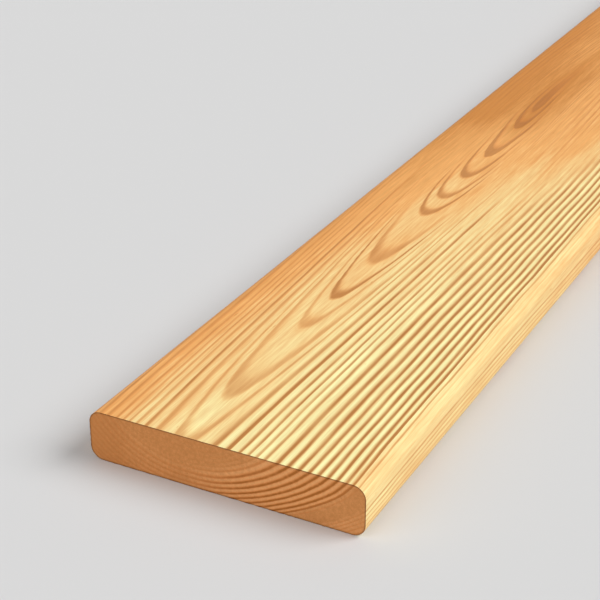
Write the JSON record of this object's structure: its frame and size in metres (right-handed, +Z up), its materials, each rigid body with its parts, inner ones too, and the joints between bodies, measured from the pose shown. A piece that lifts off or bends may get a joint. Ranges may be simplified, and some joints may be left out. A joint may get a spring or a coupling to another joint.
{
  "type": "decking board",
  "caption": "Solid softwood decking board with a plain planed section, rounded long arrises and square-sawn ends, laid flat across joists as a walking surface.",
  "frame": {"origin": "centre of the flat underside, at floor level", "axes": "+Y along the board's length, +X across its width, +Z up through its thickness to the walking face"},
  "size_m": [0.1396, 2.4384, 0.0254],
  "materials": {
    "planed_softwood": "planed smooth, bare timber with growth-ring figure"
  },
  "bodies": {
    "root": {"decking_board": "planed_softwood"}
  },
  "joints": []
}
